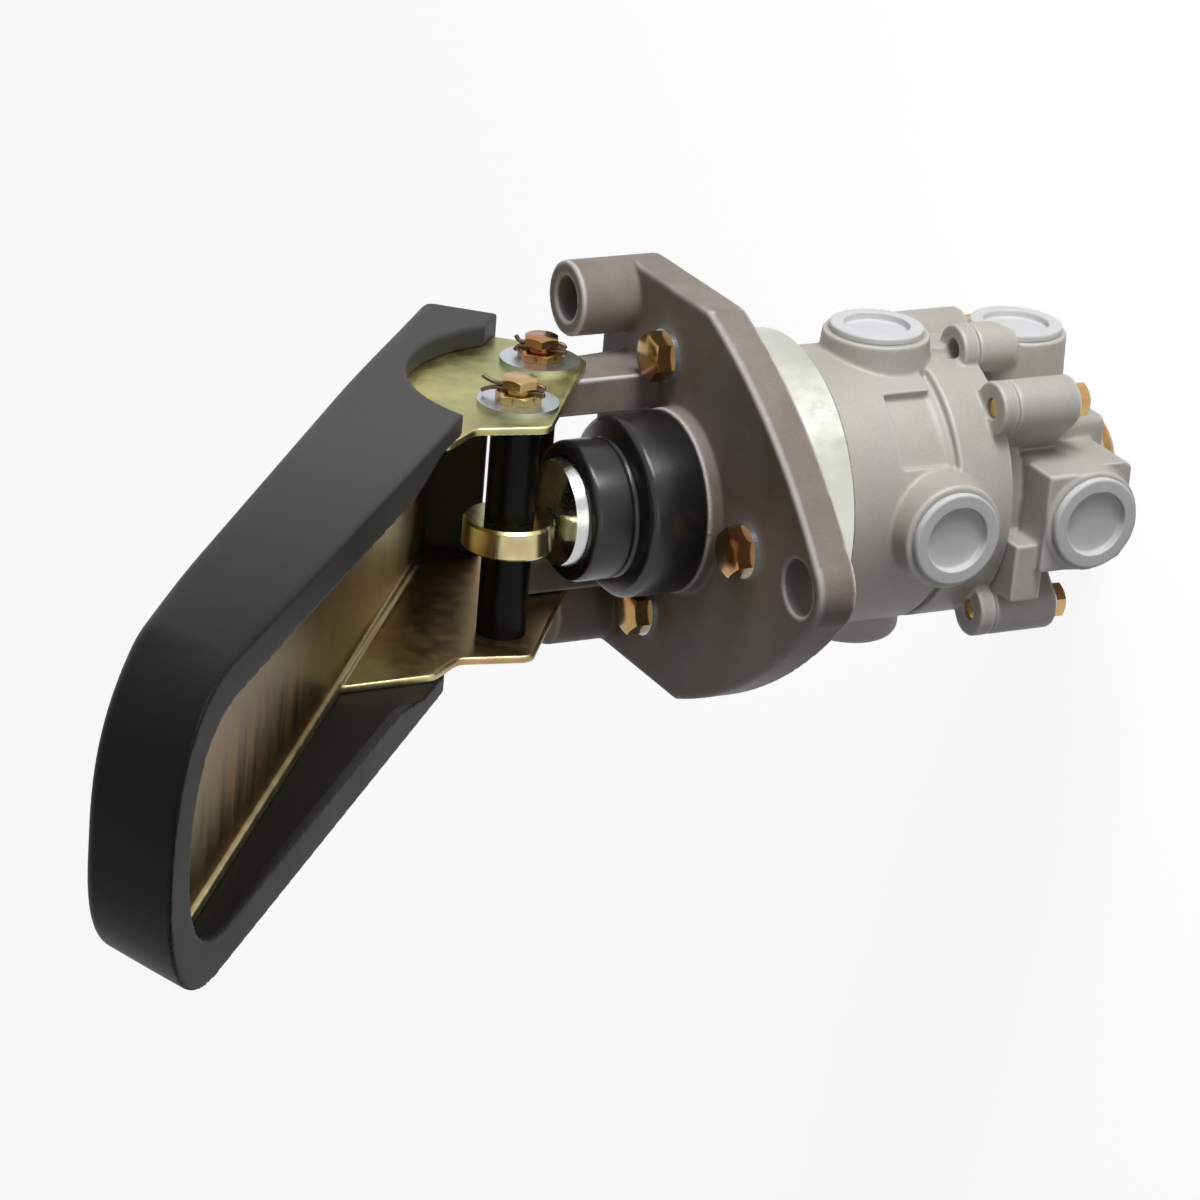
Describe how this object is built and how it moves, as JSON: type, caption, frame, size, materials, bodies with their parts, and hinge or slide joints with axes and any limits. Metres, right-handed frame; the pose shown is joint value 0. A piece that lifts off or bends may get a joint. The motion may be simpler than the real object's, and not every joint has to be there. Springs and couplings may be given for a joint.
{
  "type": "foot brake valve",
  "caption": "Foot brake valve: rubber-covered treadle on a hinged fork over a plunger and boot, on a cast mounting plate, with two valve bodies and plugged ports.",
  "frame": {"origin": "where the valve's axis meets the mounting plate's lower face", "axes": "+Z along the valve's axis towards the pedal, +X forward to the plate's tip and the pedal's toe, +Y along the pedal's pins towards the side ports"},
  "size_m": [0.2661, 0.1216, 0.3973],
  "materials": {
    "zinc": "yellow passivated zinc, satin",
    "bright_zinc": "bright zinc plate",
    "steel": "turned steel",
    "cast": "cast aluminium, fine grain",
    "cast_plate": "cast aluminium, brownish grey",
    "rubber": "black rubber",
    "plug": "whitish plastic",
    "black_plastic": "black plastic tube",
    "bronze": "bearing bronze",
    "gold_screw": "yellow passivated zinc"
  },
  "bodies": {
    "housing": {"mounting_plate": "cast_plate", "plate_bolts": "gold_screw", "bolt_washers": "bright_zinc", "clamp_ring": "bright_zinc", "pivot_bushes": "bronze", "plunger_guide": "bronze", "boot": "rubber", "upper_body": "cast", "lower_body": "cast", "body_seal": "rubber", "joining_screws": "gold_screw", "screw_washers": "gold_screw", "upper_valve_guide": "cast", "lower_valve_guide": "cast", "guide_clip": "steel", "exhaust_cap": "gold_screw", "exhaust_flap": "rubber", "upper_valve_spring": "steel", "lower_valve_spring": "steel", "main_piston_spring": "steel", "relay_piston_spring": "steel"},
    "pedal": {"treadle": "zinc", "pedal_rubber": "rubber", "pivot_pin": "zinc", "roller_pin": "zinc", "pivot_pin_washer": "bright_zinc", "roller_pin_washer": "bright_zinc", "pivot_split_pin": "steel", "roller_split_pin": "steel", "spacer_sleeves": "black_plastic"},
    "roller": {"roller": "zinc", "roller_bush": "bronze"},
    "plunger": {"plunger": "steel"},
    "main_piston": {"main_piston": "cast", "main_piston_seal": "rubber", "graduating_spring": "rubber"},
    "relay_piston": {"relay_piston": "cast", "relay_piston_seal": "rubber"},
    "upper_valve": {"upper_valve": "rubber"},
    "lower_valve": {"lower_valve": "rubber"},
    "upper_front_plug": {"upper_front_plug": "plug"},
    "upper_side_plug": {"upper_side_plug": "plug"},
    "lower_front_plug": {"lower_front_plug": "plug"},
    "lower_side_plug": {"lower_side_plug": "plug"}
  },
  "joints": [
    {"name": "pedal_pivot", "type": "hinge", "parent": "housing", "child": "pedal", "pos_m": [-0.0272, 0, 0.0469], "axis": [0, 1, 0], "range_deg": [0, 16], "stiffness_Nm_per_rad": 60, "springref_deg": -8},
    {"name": "roller_spin", "type": "hinge", "parent": "pedal", "child": "roller", "pos_m": [0.0042, 0, 0.0694], "axis": [0, 1, 0], "continuous": true},
    {"name": "plunger_slide", "type": "slide", "parent": "housing", "child": "plunger", "axis": [0, 0, -1], "range_m": [0, 0.00936], "deforming": ["boot", "graduating_spring"]},
    {"name": "main_piston_slide", "type": "slide", "parent": "housing", "child": "main_piston", "axis": [0, 0, -1], "range_m": [0, 0.0026], "deforming": ["main_piston_spring"]},
    {"name": "relay_piston_slide", "type": "slide", "parent": "housing", "child": "relay_piston", "axis": [0, 0, -1], "range_m": [0, 0.0026], "deforming": ["relay_piston_spring"]},
    {"name": "upper_valve_slide", "type": "slide", "parent": "housing", "child": "upper_valve", "axis": [0, 0, -1], "range_m": [0, 0.00177], "deforming": ["upper_valve_spring"]},
    {"name": "lower_valve_slide", "type": "slide", "parent": "housing", "child": "lower_valve", "axis": [0, 0, -1], "range_m": [0, 0.00177], "deforming": ["lower_valve_spring"]},
    {"name": "upper_front_plug_pull", "type": "slide", "parent": "housing", "child": "upper_front_plug", "axis": [1, 0, 0], "range_m": [0, 0.06]},
    {"name": "upper_side_plug_pull", "type": "slide", "parent": "housing", "child": "upper_side_plug", "axis": [0, 1, 0], "range_m": [0, 0.06]},
    {"name": "lower_front_plug_pull", "type": "slide", "parent": "housing", "child": "lower_front_plug", "axis": [1, 0, 0], "range_m": [0, 0.06]},
    {"name": "lower_side_plug_pull", "type": "slide", "parent": "housing", "child": "lower_side_plug", "axis": [0, 1, 0], "range_m": [0, 0.06]}
  ],
  "couplings": [
    {"joint": "plunger_slide", "follows": "pedal_pivot", "m_per_rad": 0.032229},
    {"joint": "main_piston_slide", "follows": "pedal_pivot", "m_per_rad": 0.008952},
    {"joint": "relay_piston_slide", "follows": "pedal_pivot", "m_per_rad": 0.008952},
    {"joint": "upper_valve_slide", "follows": "pedal_pivot", "m_per_rad": 0.006088},
    {"joint": "lower_valve_slide", "follows": "pedal_pivot", "m_per_rad": 0.006088}
  ]
}
